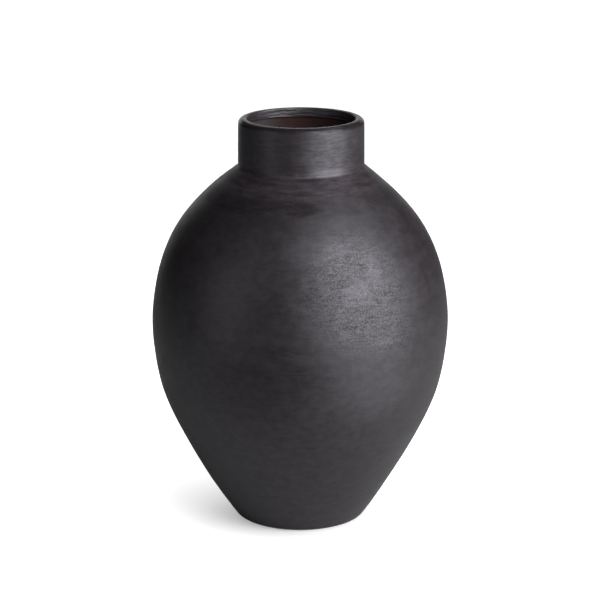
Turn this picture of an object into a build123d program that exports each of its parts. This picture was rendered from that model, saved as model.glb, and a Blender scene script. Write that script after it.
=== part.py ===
"""Barro negro jar: a hollow pot of burnished black clay with a short upright neck.

The jar is built by hand from five members of clay, luted together while they are leather-hard:
a pinched base, a coiled lower wall, a coiled shoulder, a neck collar and a lip coil. Each seam is
the bed where one member sits on the one below it. The firing turns all five into one ceramic body.

Millimetres, +Z up. The origin is on the floor plane, at the centre of the foot.
"""
import os
from math import radians, tan

from build123d import *

# Overall size
jar_height = 412
belly_radius = 150
belly_height = 205

# Thickness of the clay
wall = 7
floor_thickness = 12

# Foot
foot_radius = 65.4  # where the slope of the wall would meet the floor plane
foot_slope = (0.59, 0.81)  # direction in which the wall leaves the floor
foot_rounding = 6
foot_hollow_radius = 50
foot_hollow_depth = 1.5
foot_hollow_rounding = 1
inside_floor_rounding = 14

# Neck
neck_radius = 63.3
neck_top_radius = 62.8  # the neck draws in very slightly towards the lip
neck_height = 364  # where the upright neck leaves the shoulder
neck_slope = (-0.80, 0.60)  # direction in which the shoulder reaches the neck
neck_rounding = 4
bore_bottom_radius = 56.6
bore_bottom_height = 358.5
bore_top_radius = 55.6

# Lip
lip_height = 9.5
mouth_radius = 54.1
lip_outer_rounding = 5.2
lip_inner_rounding = 1.5
lip_underside_rounding = 1

# Seams: the height of each on the outside, and how steeply the shoulder laps down inside the lower wall
base_seam_height = 22
belly_seam_height = belly_height
belly_seam_slope = 35
neck_seam_height = 361
lip_seam_height = jar_height - lip_height

# Half outline of the outside from the foot to the neck, as (radius, height)
lower_outline = [
    (foot_radius, 0),
    (98.1, 50),
    (125.2, 100),
    (141.3, 140),
    (148.5, 180),
    (belly_radius, belly_height),
]
upper_outline = [
    (belly_radius, belly_height),
    (148.2, 230),
    (139.3, 270),
    (119.2, 310),
    (92.4, 340),
    (neck_radius, neck_height),
]
inside_steps = 12  # points that carry the inside line along each of these outlines
section_reach = belly_radius + wall
tolerance = 0.01


def inside_of(outline):
    """A line that keeps one wall thickness inside an outline drawn upwards."""
    stations = [step / inside_steps for step in range(inside_steps + 1)]
    points = [outline @ t + (outline % t).rotate(Axis.Z, 90) * wall for t in stations]
    return Spline(*points, tangents=[outline % 0, outline % 1])


def seam(height, slope=0):
    """Ends of a cut across the section, at the axis and beyond the belly, level or rising outwards."""
    rise = tan(radians(slope))
    return (0, height - belly_radius * rise), (section_reach, height + wall * rise)


def between(lower_seam, upper_seam):
    """The region of the section that lies between two seams."""
    with BuildSketch() as region:
        with BuildLine():
            Polyline(lower_seam[0], lower_seam[1], upper_seam[1], upper_seam[0], close=True)
        make_face()
    return region.sketch


def rings_at(member, height):
    """The round edges of a member at one height, from the smallest to the largest."""
    rings = member.edges().filter_by(GeomType.CIRCLE)
    return rings.filter_by_position(Axis.Z, height - tolerance, height + tolerance).sort_by(SortBy.RADIUS)


def save(member, name):
    """Label a finished member and write it as its own STEP file."""
    member.part.label = name
    export_step(member.part, f"parts/{name}.step")


foot_plane = seam(0)
base_seam = seam(base_seam_height)
belly_seam = seam(belly_seam_height, belly_seam_slope)
neck_seam = seam(neck_seam_height)
lip_seam = seam(lip_seam_height)
top_plane = seam(jar_height)

os.makedirs("parts", exist_ok=True)

# Section of the whole jar to the right of its axis: body wall, floor, and neck with the lip's band inside
with BuildSketch(Plane.XZ) as jar_section:
    with BuildLine():
        lower_line = Spline(*lower_outline, tangents=[foot_slope, (0, 1)])
        upper_line = Spline(*upper_outline, tangents=[(0, 1), neck_slope])
        lower_inside = inside_of(lower_line)
        upper_inside = inside_of(upper_line)
        Line(lower_line @ 0, lower_inside @ 0)
        Line(upper_line @ 1, upper_inside @ 1)
    make_face()
    Rectangle(foot_radius, floor_thickness, align=(Align.MIN, Align.MIN))
    Rectangle(foot_hollow_radius, foot_hollow_depth, align=(Align.MIN, Align.MIN), mode=Mode.SUBTRACT)
    with BuildLine():
        Polyline(
            (neck_radius, neck_height),
            (neck_top_radius, jar_height),
            (mouth_radius, jar_height),
            (mouth_radius, lip_seam_height),
            (bore_top_radius, lip_seam_height),
            (bore_bottom_radius, bore_bottom_height),
            upper_inside @ 1,
            close=True,
        )
    make_face()

# Pinched base: the floor and the start of the wall, pressed out of one ball of clay
with BuildPart() as pinched_base:
    with BuildSketch(Plane.XZ):
        add(jar_section.sketch_local)
        add(between(foot_plane, base_seam), mode=Mode.INTERSECT)
    revolve(axis=Axis.Z)
    fillet(rings_at(pinched_base, 0)[-1], foot_rounding)
    fillet(rings_at(pinched_base, foot_hollow_depth)[-1], foot_hollow_rounding)
    fillet(rings_at(pinched_base, floor_thickness)[-1], inside_floor_rounding)

save(pinched_base, "pinched_base")

# Lower wall: coils from the base up to the belly
with BuildPart() as lower_wall:
    with BuildSketch(Plane.XZ):
        add(jar_section.sketch_local)
        add(between(base_seam, belly_seam), mode=Mode.INTERSECT)
    revolve(axis=Axis.Z)

save(lower_wall, "lower_wall")

# Shoulder: coils that close in from the belly to a flat bed for the neck
with BuildPart() as shoulder_wall:
    with BuildSketch(Plane.XZ):
        add(jar_section.sketch_local)
        add(between(belly_seam, neck_seam), mode=Mode.INTERSECT)
    revolve(axis=Axis.Z)

save(shoulder_wall, "shoulder_wall")

# Neck collar: the upright neck, with its foot smoothed out over the shoulder
with BuildPart() as neck_collar:
    with BuildSketch(Plane.XZ):
        add(jar_section.sketch_local)
        add(between(neck_seam, lip_seam), mode=Mode.INTERSECT)
    revolve(axis=Axis.Z)
    fillet(rings_at(neck_collar, neck_height), neck_rounding)

save(neck_collar, "neck_collar")

# Lip coil: a thicker coil that rounds off the neck and stands proud inside it
with BuildPart() as lip_coil:
    with BuildSketch(Plane.XZ):
        add(jar_section.sketch_local)
        add(between(lip_seam, top_plane), mode=Mode.INTERSECT)
    revolve(axis=Axis.Z)
    fillet(rings_at(lip_coil, jar_height)[-1], lip_outer_rounding)
    fillet(rings_at(lip_coil, jar_height)[0], lip_inner_rounding)
    fillet(rings_at(lip_coil, lip_seam_height)[0], lip_underside_rounding)

save(lip_coil, "lip_coil")
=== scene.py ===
import math
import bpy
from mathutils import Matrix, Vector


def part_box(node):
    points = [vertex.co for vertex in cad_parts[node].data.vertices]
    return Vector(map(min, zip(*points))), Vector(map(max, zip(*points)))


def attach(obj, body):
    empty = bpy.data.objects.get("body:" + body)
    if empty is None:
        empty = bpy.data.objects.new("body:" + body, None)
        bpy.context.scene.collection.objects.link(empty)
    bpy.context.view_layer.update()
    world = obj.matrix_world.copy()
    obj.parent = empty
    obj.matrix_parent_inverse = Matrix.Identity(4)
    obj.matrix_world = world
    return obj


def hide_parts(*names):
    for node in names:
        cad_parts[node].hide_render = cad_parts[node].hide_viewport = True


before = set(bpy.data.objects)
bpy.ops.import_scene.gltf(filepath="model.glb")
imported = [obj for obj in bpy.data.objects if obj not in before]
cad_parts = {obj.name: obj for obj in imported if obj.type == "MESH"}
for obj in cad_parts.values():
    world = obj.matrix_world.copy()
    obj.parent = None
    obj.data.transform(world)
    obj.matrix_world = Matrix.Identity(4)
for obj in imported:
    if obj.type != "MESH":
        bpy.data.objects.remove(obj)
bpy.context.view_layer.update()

from types import SimpleNamespace

import bmesh
import bpy
import numpy as np

# ---------------------------------------------------------------- sizes, in metres

MM = 0.001
ROUND_STEPS = 720  # vertices round the jar
WALL_STEP = 2.4 * MM  # spacing of the rings up the outside of the body
NECK_STEP = 1.0 * MM  # and of the rings round the neck and lip, where finer marks show
INSIDE_STEP = 9.0 * MM  # and inside the body, which is only seen through the mouth
CORNER = math.radians(25)  # a sharper turn than this is a corner of the outline
SAME_PLACE = 0.02 * MM
FOOT_SHARE = 0.77  # the level part of the foot, as a share of the base's width at its seam

NECK_LEAN = 1.15 * MM  # how far the neck stands to one side of the axis, towards +X
NECK_FILLET = 14 * MM  # the hollow curve into the neck starts this far below the neck's own clay
LIP_TURN = 8.2 * MM  # the lip turns over into the mouth this far in from its outer edge

belly_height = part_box("lower_wall")[1].z
neck_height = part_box("neck_collar")[0].z
lip_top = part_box("lip_coil")[1].z
mouth_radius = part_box("lip_coil")[1].x - LIP_TURN


# ---------------------------------------------------------------- outline of the jar, read from the frame

def section_loop(node):
    """Outline of a CAD node where the plane y = 0 cuts it at positive x: (radius, height) in order."""
    cut = bmesh.new()
    cut.from_mesh(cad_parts[node].data)
    bmesh.ops.remove_doubles(cut, verts=cut.verts, dist=1e-7)
    for normal, drop_behind in (((1, 0, 0), True), ((0, 1, 0), False)):
        everything = cut.verts[:] + cut.edges[:] + cut.faces[:]
        result = bmesh.ops.bisect_plane(
            cut, geom=everything, dist=1e-7, plane_co=(0, 0, 0), plane_no=normal, clear_inner=drop_behind
        )
    neighbours = {}
    for edge in result["geom_cut"]:
        if isinstance(edge, bmesh.types.BMEdge):
            a, b = edge.verts
            neighbours.setdefault(a, []).append(b)
            neighbours.setdefault(b, []).append(a)
    ends = [v for v in neighbours if len(neighbours[v]) == 1]
    walk = [min(ends or neighbours, key=lambda v: v.co.z)]
    onward = neighbours[walk[0]][:1]
    while onward:
        walk += onward
        onward = [v for v in neighbours[walk[-1]] if v is not walk[-2] and v is not walk[0]]
    loop = np.array([(v.co.x, v.co.z) for v in walk])
    cut.free()
    return loop if ends else np.vstack([loop, loop[:1]])


def distance_to(point, line):
    """Distance from a point to a line of points."""
    start = line[:-1]
    step = np.diff(line, axis=0)
    share = ((point - start) * step).sum(1) / (step * step).sum(1)
    foot = start + np.clip(share, 0, 1)[:, None] * step
    return np.hypot(*(point - foot).T).min()


def open_runs(loop, others):
    """The stretches of a section's outline that don't lie on a neighbour's, which would be a seam."""
    middles = (loop[:-1] + loop[1:]) / 2
    shown = [min(distance_to(m, other) for other in others) > SAME_PLACE for m in middles]
    if np.allclose(loop[0], loop[-1]):
        first_seam = shown.index(False)
        shown = shown[first_seam:] + shown[:first_seam]
        loop = np.vstack([loop[first_seam:-1], loop[:first_seam + 1]])
    runs = []
    for i, seen in enumerate(shown):
        if seen and (i == 0 or not shown[i - 1]):
            runs.append([loop[i]])
        if seen:
            runs[-1].append(loop[i + 1])
    return [np.array(run) for run in runs]


def jar_outline():
    """The jar's outline as runs of (radius, height), each with the node it belongs to: from the axis under
    the foot, up the outside, over the lip and down the inside to the axis again."""
    loops = {node: section_loop(node) for node in sorted(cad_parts)}
    runs = []
    for node, loop in loops.items():
        others = [other for name, other in loops.items() if name != node]
        runs += [(node, run) for run in open_runs(loop, others)]
    here = np.zeros(2)
    chain = []
    while runs:
        reach = [min(np.hypot(*(run[0] - here)), np.hypot(*(run[-1] - here))) for _, run in runs]
        node, run = runs.pop(int(np.argmin(reach)))
        if np.hypot(*(run[-1] - here)) < np.hypot(*(run[0] - here)):
            run = run[::-1]
        chain.append((node, run))
        here = run[-1]
    return chain


def turned(points):
    """How far a line turns at each of its inner points, in radians."""
    step = np.diff(points, axis=0)
    return np.abs(np.diff(np.unwrap(np.arctan2(step[:, 1], step[:, 0]))))


def spacing(point, is_inside):
    """How far apart the rings are at a point of the outline."""
    if point[1] > neck_height - (0 if is_inside else NECK_FILLET):
        return NECK_STEP
    return INSIDE_STEP if is_inside else WALL_STEP


def smooth_between(stretch, gaps):
    """A smooth curve through the points of one stretch, with points no further apart than the gaps ask.
    Returns them without the first, and how many there are up to each given point."""
    length = np.hypot(*np.diff(stretch, axis=0).T)
    along = np.concatenate([[0], np.cumsum(length)])
    slope = np.gradient(stretch, axis=0) / np.gradient(along)[:, None]
    curve = []
    counts = []
    for k, size in enumerate(length):
        t = np.linspace(0, 1, math.ceil(size / gaps[k] - 0.01) + 1)[1:, None]
        curve.append(
            stretch[k] * (2 * t**3 - 3 * t**2 + 1) + stretch[k + 1] * (3 * t**2 - 2 * t**3)
            + slope[k] * size * (t**3 - 2 * t**2 + t) + slope[k + 1] * size * (t**3 - t**2)
        )
        counts.append(len(t))
    return np.vstack(curve), counts


def ring_plan(chain):
    """The rings of the mesh. Returns (radius, height) of each ring in order along the outline, the rings at
    its corners, and for each run of the chain its node with its first and last ring."""
    points = []
    gaps = []
    spans = []
    is_inside = False
    for node, run in chain:
        joins_on = points and np.hypot(*(run[0] - points[-1])) < SAME_PLACE
        first = len(points) - 1 if joins_on else len(points)
        run = run[1:] if joins_on else run
        points += list(run)
        gaps += [spacing(p, is_inside) for p in run]
        spans.append((node, first, len(points) - 1))
        is_inside = is_inside or node == "lip_coil"
    points = np.array(points)
    breaks = [0, *(np.flatnonzero(turned(points) > CORNER) + 1), len(points) - 1]
    rings = [points[:1]]
    ring_of = [0]
    for a, b in zip(breaks, breaks[1:]):
        curve, counts = smooth_between(points[a:b + 1], gaps[a:b + 1])
        rings.append(curve)
        ring_of += list(ring_of[-1] + np.cumsum(counts))
    corners = [ring_of[k] for k in breaks]
    return np.vstack(rings), corners, [(node, ring_of[a], ring_of[b]) for node, a, b in spans]


rings, corners, spans = ring_plan(jar_outline())
lowest, highest = np.argmin(rings[:, 1]), np.argmax(rings[:, 1])
outside_radius, outside_height = rings[lowest:highest].T
foot_edge = int(np.argmax(rings[:, 0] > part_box("pinched_base")[1].x * FOOT_SHARE))
lip_end = max(last for node, _, last in spans if node == "lip_coil")


# ---------------------------------------------------------------- what the hands did to the shape

JOIN_RADIUS = 67.5 * MM  # where the neck's clay was smeared out over the shoulder


def smoothstep(value, low, high):
    t = np.clip((value - low) / (high - low), 0, 1)
    return t * t * (3 - 2 * t)


def bell(value, middle, width):
    return np.exp(-(((value - middle) / width) ** 2))


def noise(points, size, seed):
    """Smooth random values between -1 and 1 that change over the given size along x, y and z."""
    table = np.random.default_rng(seed).uniform(-1, 1, (64, 64, 64))
    cell = points / np.array(size)
    corner = np.floor(cell).astype(int)
    share = cell - corner
    share = share * share * (3 - 2 * share)
    total = 0
    for offset in np.ndindex(2, 2, 2):
        weight = np.prod(np.where(offset, share, 1 - share), axis=-1)
        x, y, z = np.moveaxis((corner + offset) % 64, -1, 0)
        total = total + weight * table[x, y, z]
    return total


def lean(height):
    """How far the jar's middle stands off its axis, towards +X: the neck was set a little to one side, and
    the body isn't quite true either."""
    neck = NECK_LEAN * smoothstep(height, neck_height - 16 * MM, neck_height + 5 * MM)
    shoulder = 0.3 * MM * bell(height, belly_height + 30 * MM, 60 * MM)
    foot = -0.45 * MM * bell(height, 45 * MM, 25 * MM)
    return neck + shoulder + foot


def relief(points, is_outside):
    """How far the worked surface stands above the drawn one: slow waves, turning ridges, burnished flats, and
    the clay smeared over the join at the neck."""
    height = points[..., 2]
    radius = np.hypot(points[..., 0], points[..., 1])
    waves = 0.10 * MM * noise(points, (90 * MM, 90 * MM, 70 * MM), 1)
    ridges = 0.045 * MM * noise(points, (110 * MM, 110 * MM, 5 * MM), 2)
    flats = 0.04 * MM * noise(points, (19 * MM, 19 * MM, 8 * MM), 3)
    worked = (waves + ridges + flats) * smoothstep(height, 0, 8 * MM)
    near_neck = smoothstep(height, neck_height - 9 * MM, neck_height - 6 * MM)
    at_join = bell(radius, JOIN_RADIUS, 1.1 * MM) * near_neck * is_outside
    smear = 0.16 * MM * at_join * (1 + noise(points, (30 * MM, 30 * MM, 30 * MM), 4))
    return worked + smear


def worked_surface():
    """Points of the jar's surface, one row of ROUND_STEPS for each ring."""
    outward = np.gradient(rings, axis=0)[:, ::-1] * (1, -1)
    outward /= np.hypot(*outward.T)[:, None]
    angle = np.arange(ROUND_STEPS) * 2 * np.pi / ROUND_STEPS
    round_about = np.stack([np.cos(angle), np.sin(angle)], axis=-1)
    points = np.empty((len(rings), ROUND_STEPS, 3))
    points[..., :2] = rings[:, None, :1] * round_about
    points[..., 2] = rings[:, None, 1]
    normal = np.empty_like(points)
    normal[..., :2] = outward[:, None, :1] * round_about
    normal[..., 2] = outward[:, None, 1]
    is_outside = np.arange(len(rings)) <= highest
    points += normal * relief(points, is_outside[:, None])[..., None]
    points[..., 0] += lean(points[..., 2])
    return points


def strip_normals(rows):
    """Normals of a smooth stretch of rings, pointing out of the clay."""
    around = np.roll(rows, -1, axis=1) - np.roll(rows, 1, axis=1)
    normal = np.cross(around, np.gradient(rows, axis=0))
    return normal / np.maximum(np.linalg.norm(normal, axis=-1, keepdims=True), 1e-12)


# ---------------------------------------------------------------- the five pieces

def closing_fan(row, vertex, facing_up):
    """Triangles that close a ring of vertices, given by its row, to one vertex on the axis."""
    here = row * ROUND_STEPS + np.arange(ROUND_STEPS)
    following = row * ROUND_STEPS + (np.arange(ROUND_STEPS) + 1) % ROUND_STEPS
    edge = (here, following) if facing_up else (following, here)
    return np.stack([*edge, np.full(ROUND_STEPS, vertex)], axis=-1)


def smooth_normals(surface):
    """Normals at the two rings of each pair of neighbours, smooth between one corner of the outline and the
    next."""
    normals = {}
    for a, b in zip(corners, corners[1:]):
        a, b = max(a, 1), min(b, len(surface) - 2)
        if b > a:
            stretch = strip_normals(surface[a:b + 1])
            normals.update({(a + k, a + k + 1): (stretch[k], stretch[k + 1]) for k in range(b - a)})
    return normals


def look_of(first, second):
    """Number of the material between two rings: 0 is burnished, for the outside and the lip, 1 is raw, for
    the inside, and 2 is scraped, for the underside."""
    if max(first, second) <= foot_edge:
        return 2
    return 1 if second > lip_end or second < first else 0


def piece_mesh(surface, normals_of, runs):
    """A closed solid piece of the jar: its runs of rings, joined where they end by plain seam faces. Returns
    its vertices, its faces, the normals at their corners, and their material numbers."""
    sequence = [k for first, last in runs for k in range(first, last + 1)]
    at_axis = [end for end in (sequence[0], sequence[-1]) if end in (0, len(surface) - 1)]
    rows = [k for k in sequence if k not in at_axis]
    strips = list(zip(range(len(rows)), range(1, len(rows))))
    if not at_axis:
        strips.append((len(rows) - 1, 0))
    step = np.arange(ROUND_STEPS)
    following = (step + 1) % ROUND_STEPS
    faces = []
    normals = []
    face_looks = []
    for low, high in strips:
        pair = (rows[low], rows[high])
        below, above = normals_of.get(pair) or strip_normals(surface[list(pair)])
        loop = (low, step), (low, following), (high, following), (high, step)
        faces += np.stack([row * ROUND_STEPS + k for row, k in loop], axis=-1).tolist()
        normals.append(np.stack([below, below[following], above[following], above], axis=1).reshape(-1, 3))
        face_looks += [look_of(*pair)] * ROUND_STEPS
    vertices = surface[rows].reshape(-1, 3)
    for end in at_axis:
        is_floor = end > 0
        faces += closing_fan(len(rows) - 1 if is_floor else 0, len(vertices), is_floor).tolist()
        vertices = np.vstack([vertices, surface[end].mean(0)])
        normals.append(np.tile((0.0, 0.0, 1.0 if is_floor else -1.0), (3 * ROUND_STEPS, 1)))
        face_looks += [look_of(end, end)] * ROUND_STEPS
    return vertices.tolist(), faces, np.concatenate(normals), face_looks


def build_piece(name, vertices, faces, normals, face_looks, looks):
    mesh = bpy.data.meshes.new(name)
    mesh.from_pydata(vertices, [], faces)
    mesh.shade_smooth()
    mesh.normals_split_custom_set(normals)
    for look in looks:
        mesh.materials.append(look)
    mesh.polygons.foreach_set("material_index", face_looks)
    piece = bpy.data.objects.new(name, mesh)
    bpy.context.scene.collection.objects.link(piece)
    return piece


def build_jar(looks):
    """All five pieces, cut from one worked surface so that they meet exactly."""
    surface = worked_surface()
    normals_of = smooth_normals(surface)
    pieces = []
    for node in sorted(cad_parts):
        runs = [(first, last) for owner, first, last in spans if owner == node]
        piece = build_piece(node + "_clay", *piece_mesh(surface, normals_of, runs), looks)
        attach(piece, "root")
        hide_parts(node)
        pieces.append(piece)
    return pieces


# ---------------------------------------------------------------- node helpers

class Nodes:
    """Adds shader nodes to one material or world."""

    def __init__(self, tree):
        self.tree = tree

    def add(self, kind, inputs=None, **settings):
        node = self.tree.nodes.new("ShaderNode" + kind)
        for key, value in settings.items():
            setattr(node, key, value)
        for key, value in (inputs or {}).items():
            self.feed(node.inputs[key], value)
        return node

    def feed(self, socket, value):
        if isinstance(value, bpy.types.NodeSocket):
            self.tree.links.new(value, socket)
        else:
            socket.default_value = value

    def maths(self, operation, a, b=0.0):
        return self.add("Math", {0: a, 1: b}, operation=operation).outputs[0]

    def product(self, a, b):
        return self.maths("MULTIPLY", a, b)

    def total(self, first, *terms):
        """The first value plus the product of each pair that follows."""
        for a, b in terms:
            first = self.maths("ADD", first, self.product(a, b))
        return first

    def speckle(self, place, stretch, scale, detail, rough, seed):
        """Noise that runs from -1 to 1."""
        return self.fade(self.noise(place, stretch, scale, detail, rough, seed), 0.27, 0.73, -1, 1)

    def noise(self, place, stretch, scale, detail, rough, seed):
        """Noise of 0 to 1, with its pattern squeezed by stretch along x, y and z."""
        moved = self.add("Mapping", {"Vector": place, "Scale": stretch, "Location": (seed, seed, seed)})
        inputs = {"Vector": moved.outputs[0], "Scale": scale, "Detail": detail, "Roughness": rough}
        return self.add("TexNoise", inputs).outputs["Fac"]

    def fade(self, value, low, high, at_low=0.0, at_high=1.0):
        """A value that goes smoothly from at_low to at_high as another goes from low to high."""
        inputs = {"Value": value, "From Min": low, "From Max": high, "To Min": at_low, "To Max": at_high}
        return self.add("MapRange", inputs, interpolation_type="SMOOTHSTEP").outputs[0]

    def blend(self, share, first, second):
        mix = self.add("Mix", {"Factor": share}, data_type="RGBA")
        self.feed(mix.inputs[6], first)
        self.feed(mix.inputs[7], second)
        return mix.outputs[2]

    def bump(self, height, depth, below=None):
        """Bump whose relief is depth metres where height goes from 0 to 1."""
        inputs = {"Height": height, "Distance": depth, "Strength": 1.0}
        if below:
            inputs["Normal"] = below
        return self.add("Bump", inputs).outputs[0]


# ---------------------------------------------------------------- clay

BLACK_CLAY = (0.0115, 0.0092, 0.0108, 1)
DUSTY_CLAY = (0.0275, 0.0215, 0.0255, 1)
# pale clay: wear on the foot's edge, partly a painted highlight there, and the pale stains underneath
PALE_CLAY = (0.045, 0.037, 0.036, 1)
RAW_CLAY = (0.028, 0.0125, 0.0105, 1)
RAW_CLAY_DARK = (0.015, 0.0078, 0.007, 1)
# paler grey for the inside's left wall: painted light where the lamp from the right falls on it
PAINTED_LIGHT_CLAY = (0.040, 0.034, 0.0345, 1)
SHEEN_TINT = (0.925, 0.903, 1.0, 1)

# Spots on the outside. A spot is its azimuth in degrees, from +X towards +Y, its height, how far it reaches
# sideways and how far up and down.
SPARKLING = ((294, 265 * MM, 76 * MM, 84 * MM), (304, 228 * MM, 50 * MM, 36 * MM))
STREAKED = (*SPARKLING, (303, 385 * MM, 42 * MM, 30 * MM))
POLISHED = (
    (293, 265 * MM, 20 * MM, 17 * MM),
    (303, 218 * MM, 20 * MM, 9 * MM),
    (286, 305 * MM, 17 * MM, 11 * MM),
    (302, 283 * MM, 13 * MM, 24 * MM),
)
RUBBED_FILLET = ((297, 367.5 * MM, 34 * MM, 5 * MM),)
SCUFFED = (
    (268, 403.5 * MM, 22 * MM, 5 * MM),
    (263, 209 * MM, 34 * MM, 17 * MM),
    (268, 192 * MM, 24 * MM, 13 * MM),
)
BAND_LOW = neck_height - 28 * MM
BAND_HIGH = neck_height - 15 * MM
MISSED_IN_BAND = (
    (222, 334 * MM, 36 * MM, 18 * MM),
    (243, 337 * MM, 34 * MM, 16 * MM),
    (265, 339 * MM, 36 * MM, 13 * MM),
)


def new_clay(name):
    """A material, with its node helper, its shader and the object's own coordinates."""
    material = bpy.data.materials.new(name)
    material.use_nodes = True
    nodes = Nodes(material.node_tree)
    shader = material.node_tree.nodes["Principled BSDF"]
    nodes.feed(shader.inputs["Specular Tint"], SHEEN_TINT)
    return material, nodes, shader, nodes.add("TexCoord").outputs["Object"]


def patches(nodes, place, spots):
    """1 in the middle of any of the spots, fading to 0 at its edge."""
    cover = 0.0
    for azimuth, height, wide, tall in spots:
        turn = math.radians(azimuth)
        radius = np.interp(height, outside_height, outside_radius)
        middle = (radius * math.cos(turn), radius * math.sin(turn), height)
        offset = nodes.add("VectorMath", {0: place, 1: middle}, operation="SUBTRACT").outputs[0]
        share = nodes.add("VectorMath", {0: offset, 1: (wide, wide, tall)}, operation="DIVIDE").outputs[0]
        reach = nodes.add("VectorMath", {0: share}, operation="LENGTH").outputs["Value"]
        cover = nodes.maths("MAXIMUM", nodes.fade(reach, 0.3, 1.0, 1, 0), cover)
    return cover


def radius_on_neck(nodes, place):
    """Distance from the neck's middle, which stands a little beside the axis."""
    offset = nodes.add("VectorMath", {0: place, 1: (NECK_LEAN, 0, 0)}, operation="SUBTRACT").outputs[0]
    level = nodes.add("VectorMath", {0: offset, 1: (1, 1, 0)}, operation="MULTIPLY").outputs[0]
    return nodes.add("VectorMath", {0: level}, operation="LENGTH").outputs["Value"]


def shoulder_band(nodes, place, height):
    """Where the stone hardly touched the clay, in a ring round the shoulder, and where dust from the turning
    is left, between that ring and the neck."""
    wavy = nodes.noise(place, (1, 1, 3), scale=24, detail=4, rough=0.7, seed=17)
    wander = nodes.fade(wavy, 0.3, 0.7, -2.5 * MM, 2.5 * MM)
    level = nodes.maths("ADD", height, wander)
    above_low = nodes.fade(level, BAND_LOW - 4 * MM, BAND_LOW + 4 * MM)
    below_high = nodes.fade(level, BAND_HIGH - 4 * MM, BAND_HIGH + 4 * MM, 1, 0)
    uneven = nodes.noise(place, (1, 1, 3.5), scale=50, detail=4, rough=0.7, seed=23)
    patchy = nodes.fade(uneven, 0.35, 0.65, 0.15, 1.0)
    missed = nodes.fade(patches(nodes, place, MISSED_IN_BAND), 0, 1, 0.4, 1.0)
    unrubbed = nodes.product(nodes.product(above_low, below_high), nodes.product(patchy, missed))
    above_high = nodes.fade(level, BAND_HIGH - 2 * MM, BAND_HIGH + 4 * MM)
    below_neck = nodes.fade(height, neck_height + 1 * MM, neck_height + 12 * MM, 1, 0.15)
    return unrubbed, nodes.product(above_high, below_neck)


def burnished_marks(nodes, place):
    """The patterns that the colour, sheen and relief of the burnished clay are made of."""
    marks = SimpleNamespace()
    height = nodes.add("SeparateXYZ", {0: place}).outputs["Z"]
    fine = nodes.noise(place, (1, 1, 1.5), scale=600, detail=3, rough=0.7, seed=3)
    marks.grain = nodes.fade(fine, 0.35, 0.76, -0.7, 1.3)
    marks.dashes = nodes.speckle(place, (1, 1, 5), scale=95, detail=3, rough=0.65, seed=7)
    marks.mottle = nodes.speckle(place, (1, 1, 1.3), scale=110, detail=2, rough=0.5, seed=9)
    marks.cloud = nodes.speckle(place, (1, 1, 2.2), scale=26, detail=4, rough=0.6, seed=11)
    level_lines = nodes.noise(place, (1, 1, 7.5), scale=34, detail=4, rough=0.7, seed=29)
    marks.streaks = nodes.fade(level_lines, 0.33, 0.67)
    marks.on_neck = nodes.fade(height, neck_height - 2 * MM, neck_height + 6 * MM)
    marks.on_lip = nodes.fade(height, lip_top - 6 * MM, lip_top - 2 * MM)
    marks.in_mouth = nodes.fade(radius_on_neck(nodes, place), mouth_radius, mouth_radius + 0.3 * MM, 1, 0)
    marks.at_foot = nodes.fade(height, 0.8 * MM, 2.4 * MM, 1, 0)
    band, marks.dusty = shoulder_band(nodes, place, height)
    in_dashes = nodes.fade(marks.dashes, -0.3, 0.5, 0, 0.5)
    scuffed = nodes.product(patches(nodes, place, SCUFFED), in_dashes)
    marks.unrubbed = nodes.maths("MAXIMUM", band, scuffed)
    return marks


def burnished_colour(nodes, marks):
    """Black, dusty in streaks under the neck, lighter in the mouth with painted light on the lip's inner
    band,
    and pale on the edge of the foot: partly wear, partly a painted highlight.
    """
    in_streaks = nodes.product(marks.dusty, marks.streaks)
    # the streaks under the neck are dust; the paler mouth is painted light on the lip's inner band
    dust_and_painted_light = nodes.maths("MAXIMUM", in_streaks, nodes.product(marks.in_mouth, 0.6))
    # pale foot edge: partly wear, partly a painted highlight along the foot's rounding
    wear_and_highlight = nodes.product(marks.at_foot, nodes.fade(marks.mottle, -0.9, 0.3))
    return nodes.blend(wear_and_highlight, nodes.blend(dust_and_painted_light, BLACK_CLAY, DUSTY_CLAY), PALE_CLAY)


def burnished_sheen(nodes, marks, place):
    """How strongly the clay mirrors, for the shader's Specular IOR Level."""
    sparkling = nodes.fade(patches(nodes, place, SPARKLING), 0, 1, 0.08, 0.60)
    neck_streaks = nodes.fade(marks.on_neck, 0, 1, 0.08, 0.16)
    streaked = nodes.total(neck_streaks, (patches(nodes, place, STREAKED), 0.22))
    sheen = nodes.total(
        1.0,
        (marks.grain, sparkling),
        (marks.dashes, streaked),
        (marks.mottle, 0.12),
        (marks.cloud, 0.09),
        (patches(nodes, place, POLISHED), 0.25),
        (patches(nodes, place, RUBBED_FILLET), 0.7),
        (marks.dusty, nodes.fade(marks.streaks, 0, 1, -0.38, -0.13)),
        (marks.on_lip, nodes.fade(marks.in_mouth, 0, 1, -0.60, 0.45)),
    )
    sheen = nodes.product(sheen, nodes.fade(marks.unrubbed, 0, 1, 0.52, 0.10))
    return nodes.maths("MAXIMUM", sheen, 0.04)


def burnished_roughness(nodes, marks):
    """Cloudy, rougher where the stone missed and smoother on the lip, most of all on its outside."""
    lip_polish = nodes.fade(marks.in_mouth, 0, 1, -0.21, -0.08)
    cloudy = nodes.fade(marks.cloud, -1, 1, 0.45, 0.53)
    return nodes.total(cloudy, (marks.mottle, 0.02), (marks.unrubbed, 0.10), (marks.on_lip, lip_polish))


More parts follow.
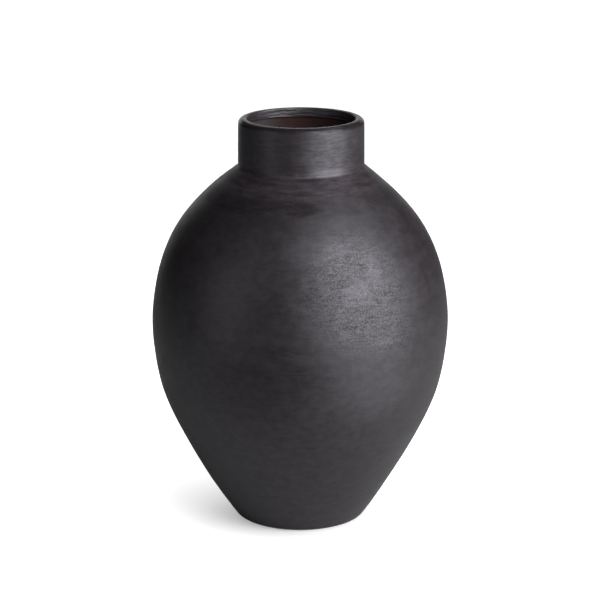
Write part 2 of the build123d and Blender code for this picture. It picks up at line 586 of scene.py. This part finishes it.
def burnished_clay():
    """Black clay rubbed with a stone before firing: a soft graphite sheen over fine, level rubbing marks."""
    material, nodes, shader, place = new_clay("burnished_black_clay")
    marks = burnished_marks(nodes, place)
    nodes.feed(shader.inputs["Base Color"], burnished_colour(nodes, marks))
    nodes.feed(shader.inputs["Specular IOR Level"], burnished_sheen(nodes, marks, place))
    nodes.feed(shader.inputs["Roughness"], burnished_roughness(nodes, marks))
    turned_lines = nodes.noise(place, (1, 1, 12), scale=30, detail=2, rough=0.6, seed=33)
    turned_ridges = nodes.fade(turned_lines, 0.3, 0.7)
    normal = nodes.bump(nodes.product(turned_ridges, marks.in_mouth), 0.6 * MM)
    normal = nodes.bump(marks.dashes, 0.009 * MM, normal)
    nodes.feed(shader.inputs["Normal"], nodes.bump(marks.grain, 0.006 * MM, normal))
    return material


def raw_clay():
    """The inside below the lip: never rubbed, so it stayed matt and browner than the rest, with its left side
    painted paler and greyer, a painted pool of the light that falls on that inner wall."""
    material, nodes, shader, place = new_clay("raw_brown_clay")
    wiped = nodes.noise(place, (1, 1, 9), scale=60, detail=3, rough=0.6, seed=31)
    grain = nodes.noise(place, (1, 1, 1), scale=480, detail=2, rough=0.6, seed=37)
    clouds = nodes.noise(place, (1, 1, 1.5), scale=22, detail=3, rough=0.5, seed=41)
    stains = nodes.fade(clouds, 0.3, 0.7)
    across = nodes.add("SeparateXYZ", {0: place}).outputs["X"]
    # painted light: the inner wall towards -X is painted paler, standing in for the key light that falls on
    # it
    painted_light_side = nodes.fade(across, -42 * MM, -12 * MM, 1, 0)
    colour = nodes.blend(painted_light_side, nodes.blend(stains, RAW_CLAY, RAW_CLAY_DARK), PAINTED_LIGHT_CLAY)
    nodes.feed(shader.inputs["Base Color"], colour)
    nodes.feed(shader.inputs["Roughness"], nodes.fade(wiped, 0.3, 0.7, 0.7, 0.85))
    shader.inputs["Specular IOR Level"].default_value = 0.2
    normal = nodes.bump(wiped, 0.12 * MM)
    nodes.feed(shader.inputs["Normal"], nodes.bump(grain, 0.05 * MM, normal))
    return material


def scraped_clay():
    """The underside: cut level with a blade and fired on its foot, so it is matt, with dragged grit marks."""
    material, nodes, shader, place = new_clay("scraped_black_clay")
    drag = nodes.noise(place, (1, 7, 1), scale=90, detail=3, rough=0.65, seed=43)
    grit = nodes.noise(place, (1, 1, 1), scale=420, detail=2, rough=0.6, seed=47)
    clouds = nodes.noise(place, (1, 1, 1), scale=30, detail=3, rough=0.5, seed=53)
    stains = nodes.fade(clouds, 0.3, 0.7)
    nodes.feed(shader.inputs["Base Color"], nodes.blend(stains, DUSTY_CLAY, PALE_CLAY))
    nodes.feed(shader.inputs["Roughness"], nodes.fade(drag, 0.3, 0.7, 0.6, 0.8))
    shader.inputs["Specular IOR Level"].default_value = 0.35
    normal = nodes.bump(drag, 0.20 * MM)
    nodes.feed(shader.inputs["Normal"], nodes.bump(grit, 0.12 * MM, normal))
    return material


# ---------------------------------------------------------------- floor, camera and light

CAMERA_DISTANCE = 2.200
CAMERA_HEIGHT = 0.822
LOOK_DOWN = math.radians(15.20)
LENS = 134.8
FLOOR_SIZE = 8.0
# The seen floor's glow is painted light; where it fades out near the jar it leaves a painted soft shadow
# round the foot.
GLOW_CENTRE = (0, -0.035, 0)
GLOW_SPREAD = (-0.05, 0.215)  # the floor's glow grows to white between these distances from its centre
FLOOR_FADE_DEPTHS = (-0.44, -0.17)  # the mirrored floor darkens between these depths, in front of the jar
STRAY_LIGHT = 0.025


def floor_plane(name):
    """A level plane under the jar, that casts no shadow, with its node helper, its shader and its own
    coordinates."""
    bpy.ops.mesh.primitive_plane_add(size=FLOOR_SIZE)
    plane = bpy.context.object
    plane.name = name
    plane.visible_shadow = False
    material = bpy.data.materials.new(name)
    material.use_nodes = True
    nodes = Nodes(material.node_tree)
    shader = material.node_tree.nodes["Principled BSDF"]
    shader.inputs["Roughness"].default_value = 0.9
    shader.inputs["Specular IOR Level"].default_value = 0.0
    plane.data.materials.append(material)
    return plane, nodes, shader, nodes.add("TexCoord").outputs["Object"]


def seen_floor():
    """The pale floor that only the camera sees. Away from the jar it glows, painted light that goes over into
    the white background; near the jar the glow fades out, which leaves a painted soft shadow round the foot.
    From below it is clear, so that the underside can be looked at."""
    floor, nodes, shader, place = floor_plane("floor")
    floor.visible_diffuse = False
    floor.visible_glossy = False
    offset = nodes.add("VectorMath", {0: place, 1: GLOW_CENTRE}, operation="SUBTRACT").outputs[0]
    away = nodes.add("VectorMath", {0: offset}, operation="LENGTH").outputs["Value"]
    shader.inputs["Base Color"].default_value = (0.9, 0.9, 0.9, 1)
    shader.inputs["Emission Color"].default_value = (1, 1, 1, 1)
    # painted light that fades out towards the jar, painting the soft shadow there
    nodes.feed(shader.inputs["Emission Strength"], nodes.fade(away, *GLOW_SPREAD))
    from_below = nodes.add("NewGeometry").outputs["Backfacing"]
    nodes.feed(shader.inputs["Alpha"], nodes.maths("SUBTRACT", 1.0, from_below))


def mirrored_floor():
    """The floor that only the jar mirrors, dark from a little way in front of it."""
    floor, nodes, shader, place = floor_plane("mirrored_floor")
    floor.visible_camera = False
    depth = nodes.add("SeparateXYZ", {0: place}).outputs["Y"]
    nodes.feed(shader.inputs["Base Color"], nodes.fade(depth, *FLOOR_FADE_DEPTHS, 0.04, 0.54))


def place_camera():
    camera = bpy.data.cameras.new("camera")
    camera.lens = LENS
    stand = bpy.data.objects.new("camera", camera)
    stand.location = (0, -CAMERA_DISTANCE, CAMERA_HEIGHT)
    stand.rotation_euler = (math.pi / 2 - LOOK_DOWN, 0, 0)
    bpy.context.scene.collection.objects.link(stand)
    bpy.context.scene.camera = stand


def panel(name, azimuth, distance, middle, size, tilt, power):
    """A soft light panel, at an azimuth in degrees from +X towards +Y, a distance from the jar's axis and a
    height of its middle. It faces the axis and is tilted down by tilt degrees."""
    light = bpy.data.lights.new(name, "AREA")
    light.shape = "RECTANGLE"
    light.size, light.size_y = size
    light.energy = power
    turn = math.radians(azimuth)
    lamp = bpy.data.objects.new(name, light)
    lamp.location = (distance * math.cos(turn), distance * math.sin(turn), middle)
    lamp.rotation_euler = (math.radians(90 - tilt), 0, turn + math.pi / 2)
    bpy.context.scene.collection.objects.link(lamp)
    return lamp


def light_only(lamp, pieces):
    """Makes a lamp light these pieces and nothing else."""
    group = bpy.data.collections.new(lamp.name + "_lights")
    for piece in pieces:
        group.objects.link(piece)
    lamp.light_linking.receiver_collection = group


def white_world():
    """A background that looks white to the camera but gives the jar only a little light from all round."""
    world = bpy.data.worlds.new("studio")
    bpy.context.scene.world = world
    world.use_nodes = True
    nodes = Nodes(world.node_tree)
    background = world.node_tree.nodes["Background"]
    background.inputs["Color"].default_value = (1, 1, 1, 1)
    is_seen = nodes.add("LightPath").outputs["Is Camera Ray"]
    nodes.feed(background.inputs["Strength"], nodes.fade(is_seen, 0, 1, STRAY_LIGHT, 1.0))


pieces = build_jar((burnished_clay(), raw_clay(), scraped_clay()))
seen_floor()
mirrored_floor()
place_camera()
white_world()
panel("key_wide", azimuth=320, distance=1.30, middle=1.22, size=(1.63, 2.40), tilt=0, power=76)
panel("key_core", azimuth=294, distance=0.87, middle=1.08, size=(0.63, 0.64), tilt=36, power=2.1)
panel("fill_strip", azimuth=215, distance=1.20, middle=0.56, size=(0.37, 1.08), tilt=-5, power=2.2)
panel("backdrop", azimuth=94, distance=1.60, middle=0.43, size=(1.70, 0.81), tilt=10, power=4.0)
panel("top_back", azimuth=37, distance=0.59, middle=1.39, size=(0.60, 0.46), tilt=79, power=1.35)
panel("rim_left", azimuth=95, distance=1.07, middle=1.24, size=(0.61, 0.34), tilt=33, power=1.2)
panel("bounce_right", azimuth=318, distance=0.65, middle=0.001, size=(0.40, 0.64), tilt=-90, power=1.75)

# Two lamps that reach no surface the camera sees: one for the back of the jar and one for its underside
back = panel("back_strip", azimuth=96, distance=0.62, middle=0.16, size=(0.14, 0.26), tilt=0, power=1.7)
light_only(back, pieces)
under = panel("under_foot", azimuth=0, distance=0.0, middle=-0.03, size=(0.04, 0.04), tilt=-90, power=0.10)
light_only(under, pieces)

bpy.context.scene.view_settings.view_transform = "Standard"
